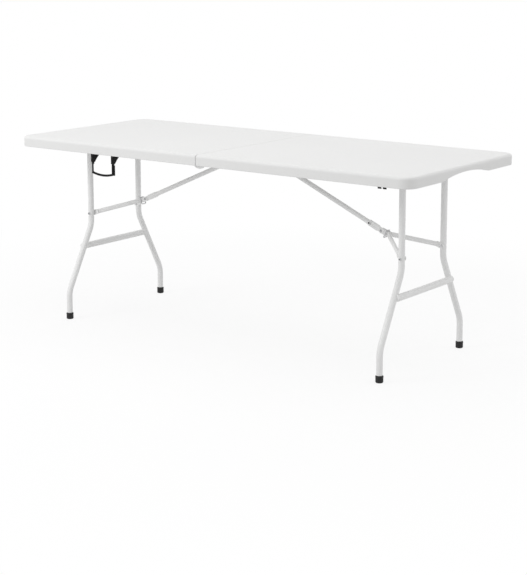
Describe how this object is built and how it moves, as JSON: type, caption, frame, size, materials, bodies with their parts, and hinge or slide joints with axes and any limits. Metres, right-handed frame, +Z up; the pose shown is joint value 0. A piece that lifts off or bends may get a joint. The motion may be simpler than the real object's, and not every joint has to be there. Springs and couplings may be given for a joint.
{
  "type": "folding table",
  "caption": "Rectangular moulded table that folds in half, with folding tubular legs held open by struts, sliding lock rings, a carry handle and a latch.",
  "frame": {"origin": "on the floor under the middle of the open table", "axes": "+X along the length towards the half without the handle, +Y to the rear, +Z up"},
  "size_m": [1.8, 0.74, 0.74],
  "materials": {
    "moulding": "fine satin",
    "coated_steel": "satin powder coat",
    "plated_steel": "bright plating",
    "foot_plastic": "matt",
    "black_plastic": "satin"
  },
  "bodies": {
    "left_half": {"left_top": "moulding", "left_front_rail": "coated_steel", "left_rear_rail": "coated_steel", "left_rail_screws": "plated_steel", "front_hinge_left_leaf": "coated_steel", "rear_hinge_left_leaf": "coated_steel", "front_hinge_pin": "plated_steel", "left_leaf_rivets": "plated_steel", "left_front_axle_block": "coated_steel", "left_rear_axle_block": "coated_steel", "left_axle_block_screws": "plated_steel", "left_strut_anchor": "coated_steel", "left_anchor_screws": "plated_steel", "left_strut_pin": "plated_steel", "handle_outer_bracket": "black_plastic", "handle_inner_bracket": "black_plastic", "handle_screws": "plated_steel", "latch_catch": "black_plastic"},
    "right_half": {"right_top": "moulding", "right_front_rail": "coated_steel", "right_rear_rail": "coated_steel", "right_rail_screws": "plated_steel", "front_hinge_right_leaf": "coated_steel", "rear_hinge_right_leaf": "coated_steel", "rear_hinge_pin": "plated_steel", "right_leaf_rivets": "plated_steel", "right_front_axle_block": "coated_steel", "right_rear_axle_block": "coated_steel", "right_axle_block_screws": "plated_steel", "right_strut_anchor": "coated_steel", "right_anchor_screws": "plated_steel", "right_strut_pin": "plated_steel", "latch_clip": "black_plastic"},
    "left_leg": {"left_leg_axle": "coated_steel", "left_front_leg": "coated_steel", "left_rear_leg": "coated_steel", "left_lower_brace": "coated_steel", "left_front_foot": "foot_plastic", "left_rear_foot": "foot_plastic", "left_leg_rivets": "plated_steel"},
    "left_strut": {"left_strut": "coated_steel"},
    "left_fork": {"left_front_fork_arm": "coated_steel", "left_rear_fork_arm": "coated_steel", "left_knuckle_pin": "plated_steel", "left_fork_rivets": "plated_steel"},
    "left_ring": {"left_lock_ring": "plated_steel"},
    "right_leg": {"right_leg_axle": "coated_steel", "right_front_leg": "coated_steel", "right_rear_leg": "coated_steel", "right_lower_brace": "coated_steel", "right_front_foot": "foot_plastic", "right_rear_foot": "foot_plastic", "right_leg_rivets": "plated_steel"},
    "right_strut": {"right_strut": "coated_steel"},
    "right_fork": {"right_front_fork_arm": "coated_steel", "right_rear_fork_arm": "coated_steel", "right_knuckle_pin": "plated_steel", "right_fork_rivets": "plated_steel"},
    "right_ring": {"right_lock_ring": "plated_steel"},
    "handle": {"handle_bail": "black_plastic"}
  },
  "joints": [
    {"name": "centre_fold", "type": "hinge", "parent": "left_half", "child": "right_half", "pos_m": [0, 0, 0.7], "axis": [0, 1, 0], "range_deg": [0, 90]},
    {"name": "left_leg_fold", "type": "hinge", "parent": "left_half", "child": "left_leg", "pos_m": [-0.733, 0, 0.716], "axis": [0, -1, 0], "range_deg": [0, 88.8]},
    {"name": "left_strut_swing", "type": "hinge", "parent": "left_half", "child": "left_strut", "pos_m": [-0.025, 0, 0.708], "axis": [0, -1, 0], "range_deg": [-24.91, 0]},
    {"name": "left_fork_swing", "type": "hinge", "parent": "left_strut", "child": "left_fork", "pos_m": [-0.56325, 0, 0.47163], "axis": [0, -1, 0], "range_deg": [0, 182.39]},
    {"name": "left_ring_slide", "type": "slide", "parent": "left_strut", "child": "left_ring", "axis": [0.9156, 0, 0.4021], "range_m": [0, 0.1721]},
    {"name": "right_leg_fold", "type": "hinge", "parent": "right_half", "child": "right_leg", "pos_m": [0.733, 0, 0.716], "axis": [0, 1, 0], "range_deg": [0, 88.8]},
    {"name": "right_strut_swing", "type": "hinge", "parent": "right_half", "child": "right_strut", "pos_m": [0.025, 0, 0.708], "axis": [0, 1, 0], "range_deg": [-24.91, 0]},
    {"name": "right_fork_swing", "type": "hinge", "parent": "right_strut", "child": "right_fork", "pos_m": [0.56325, 0, 0.47163], "axis": [0, 1, 0], "range_deg": [0, 182.39]},
    {"name": "right_ring_slide", "type": "slide", "parent": "right_strut", "child": "right_ring", "axis": [-0.9156, 0, 0.4021], "range_m": [0, 0.1721]},
    {"name": "handle_swing", "type": "hinge", "parent": "left_half", "child": "handle", "pos_m": [-0.476, -0.3445, 0.672], "axis": [1, 0, 0], "range_deg": [-90, 45]}
  ],
  "couplings": [
    {"joint": "left_strut_swing", "follows": "left_leg_fold", "ratio": -0.2805},
    {"joint": "left_fork_swing", "follows": "left_leg_fold", "ratio": 2.0539},
    {"joint": "left_ring_slide", "follows": "left_leg_fold", "m_per_rad": 0.11098},
    {"joint": "right_strut_swing", "follows": "right_leg_fold", "ratio": -0.2805},
    {"joint": "right_fork_swing", "follows": "right_leg_fold", "ratio": 2.0539},
    {"joint": "right_ring_slide", "follows": "right_leg_fold", "m_per_rad": 0.11098}
  ]
}
